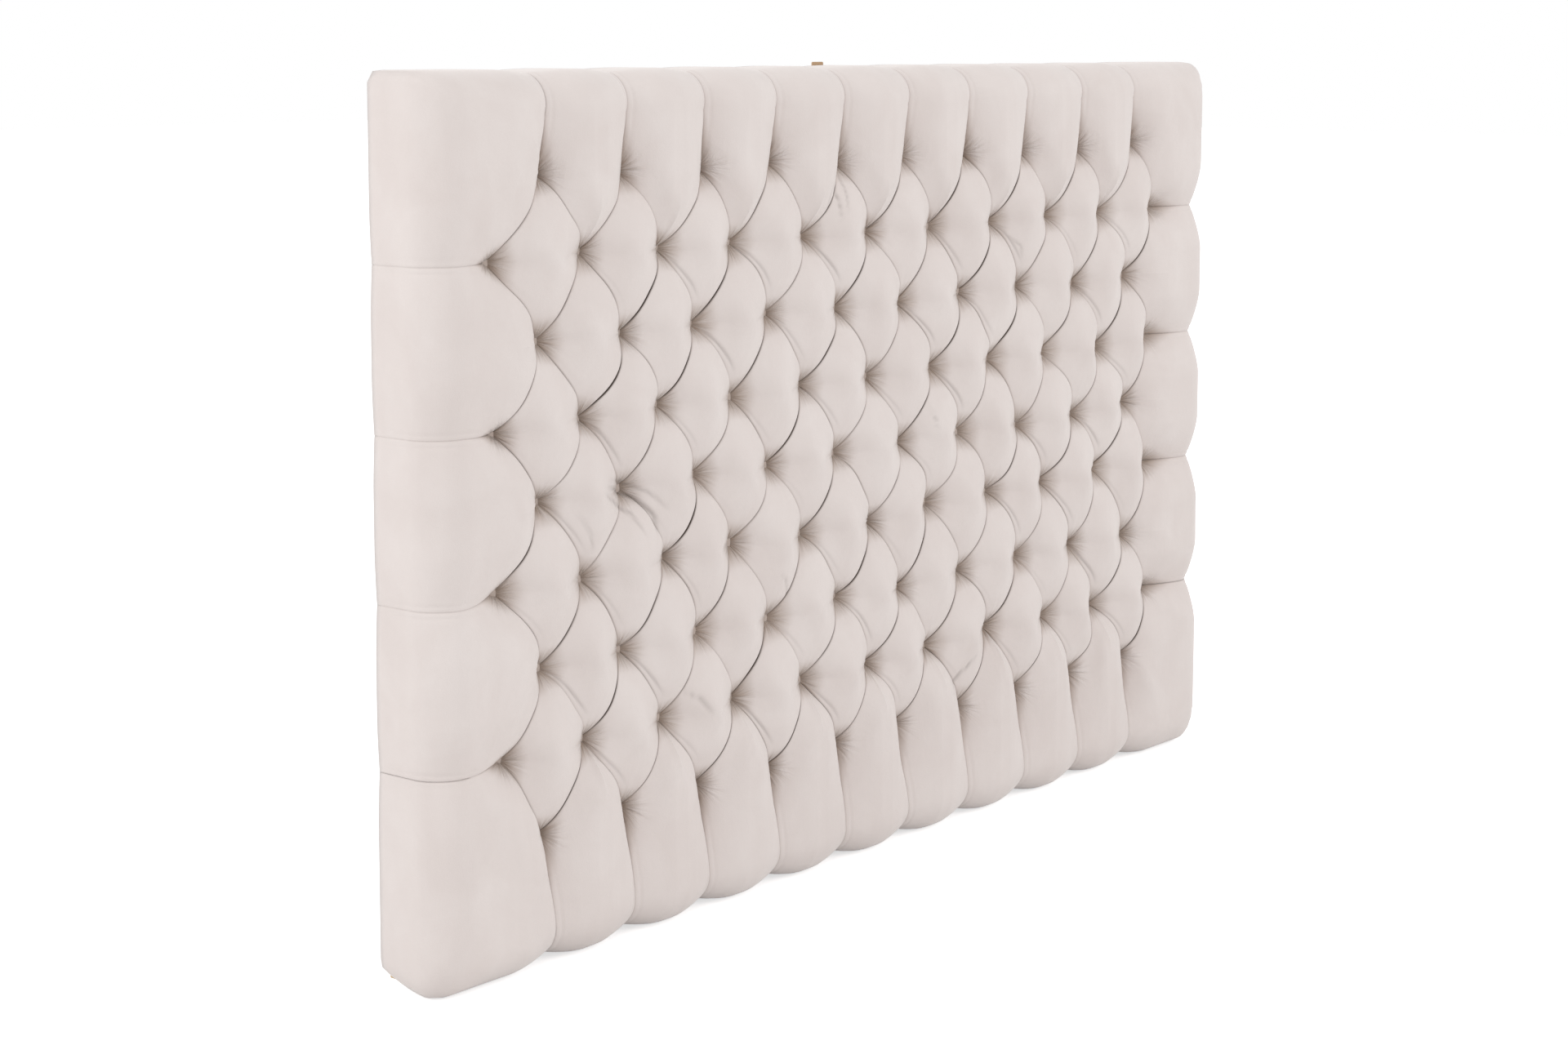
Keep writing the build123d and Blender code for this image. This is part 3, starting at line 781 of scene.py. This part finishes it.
pineLook = {"light": (.72, .55, .36), "dark": (.52, .35, .19), "roughness": .62,
            "lengthways": 3.0, "crossways": 38.0, "rings": 26.0}
plyLook = {"light": (.66, .52, .35), "dark": (.50, .37, .23), "roughness": .66,
           "lengthways": 4.0, "crossways": 26.0, "rings": 14.0}
steelLook = {"light": (.62, .62, .63), "dark": (.42, .42, .44), "roughness": .3}
foamLook = {"light": (.80, .77, .66), "dark": (.62, .58, .47), "roughness": .95}
twineLook = {"light": (.78, .73, .63), "dark": (.55, .49, .39), "roughness": .8, "scale": 220.0}
webbingLook = {"light": (.66, .47, .30), "dark": (.42, .27, .16), "roughness": .85, "scale": 300.0}
toggleLook = {"light": (.74, .74, .71), "dark": (.66, .66, .63), "roughness": .45}
pineUpright, pineAcross = timber("pineUpright", pineLook, (0, 0, 1)), timber("pineAcross", pineLook)
steel = metal("brightSteel", steelLook)
finishes = {
    "base_foam": openCells("firmFoam", foamLook),
    "buttoning_board": timber("plywood", plyLook),
    "top_rail": pineAcross, "bottom_rail": pineAcross, "corner_blocks": pineAcross,
    "left_stile": pineUpright, "left_mid_stile": pineUpright,
    "right_mid_stile": pineUpright, "right_stile": pineUpright,
    "joint_staples": steel, "hem_staples": steel, "cloth_staples": steel, "bed_inserts": steel,
    "button_twines": twisted("waxedTwine", twineLook),
    "twine_toggles": moulded("paleToggles", toggleLook),
    "top_tab": twisted("tanWebbing", webbingLook),
}
for nodeName, finish in finishes.items():
    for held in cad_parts[nodeName].material_slots:
        held.material = finish
print("hidden pieces finished:", len(finishes))

# Floor, surround and light
studio = {
    "floor": .86, "floorGlow": .62, "floorReach": 30.0,  # the glow shows the floor white
    "ambient": .84,
    "lamps": {
        "keyLight": {"place": (3.0, -9.0, 5.5), "aim": (0, 0, .6), "size": (5.0, 4.0), "power": 225},
        "sideLight": {"place": (-4.8, 1.4, 2.6), "aim": (-.9, 0, .6), "size": (2.0, 2.4), "power": 60},
    },
}


def seenRays(shader):  # 1 where the camera sees the studio, straight or in a gloss
    rays = shader.node("ShaderNodeLightPath")
    return (rays.out("Is Camera Ray") + rays.out("Is Glossy Ray") + rays.out("Is Transmission Ray")).clamp()


floorShader = Shader("paperFloor")
seen = seenRays(floorShader)
plain = floorShader.node("ShaderNodeBsdfPrincipled", {}, {
    "Base Color": (*[studio["floor"]] * 3, 1), "Roughness": 1.0, "Specular IOR Level": 0.0}).out()
glow = floorShader.node("ShaderNodeEmission", {}, {"Color": (1, 1, 1, 1), "Strength": studio["floorGlow"]}).out()
both = floorShader.node("ShaderNodeAddShader", {}, [plain, glow]).out()
floorMesh = bpy.data.meshes.new("floor")
edge = studio["floorReach"]
floorMesh.from_pydata([(-edge, -edge, 0), (edge, -edge, 0), (edge, edge, 0), (-edge, edge, 0)], [], [(0, 1, 2, 3)])
floorMesh.materials.append(floorShader.finish(floorShader.node("ShaderNodeMixShader", {}, [seen, plain, both]).out()))
floor = bpy.data.objects.new("floor", floorMesh)
scene.collection.objects.link(floor)

world = bpy.data.worlds.new("studio")
scene.world = world
surround = Shader("studio", world)
seen = seenRays(surround)
ambient = surround.node("ShaderNodeBackground", {}, {"Color": (1, 1, 1, 1), "Strength": studio["ambient"]}).out()
white = surround.node("ShaderNodeBackground", {}, {"Color": (1, 1, 1, 1), "Strength": 1.0}).out()
surround.finish(surround.node("ShaderNodeMixShader", {}, [seen, ambient, white]).out())

for name, look in studio["lamps"].items():
    light = bpy.data.lights.new(name, "AREA")
    light.shape, light.size, light.size_y = "RECTANGLE", *look["size"]
    light.energy = look["power"]
    lamp = bpy.data.objects.new(name, light)
    lamp.location = look["place"]
    lamp.rotation_euler = (Vector(look["aim"]) - Vector(look["place"])).to_track_quat("-Z", "Y").to_euler()
    scene.collection.objects.link(lamp)
print("studio lit by", len(studio["lamps"]), "lamps")

view = {
    "place": (-3.141, -2.5815, 1.237), "forward": (.751, .652, -.1026),
    "lens": 62.06, "sensor": 36.0,
    "width": 1920, "height": 1280, "middleRow": 391,  # row of the picture that the lens points at
}
camera = bpy.data.cameras.new("camera")
camera.lens, camera.sensor_width, camera.sensor_fit = view["lens"], view["sensor"], "HORIZONTAL"
camera.shift_y = (view["middleRow"] - view["height"] / 2) / view["width"]
camera.clip_end = 100
eye = bpy.data.objects.new("camera", camera)
eye.location = view["place"]
eye.rotation_euler = Vector(view["forward"]).normalized().to_track_quat("-Z", "Y").to_euler()
scene.collection.objects.link(eye)
scene.camera = eye
print("camera set")

scene.view_settings.view_transform = "Standard"
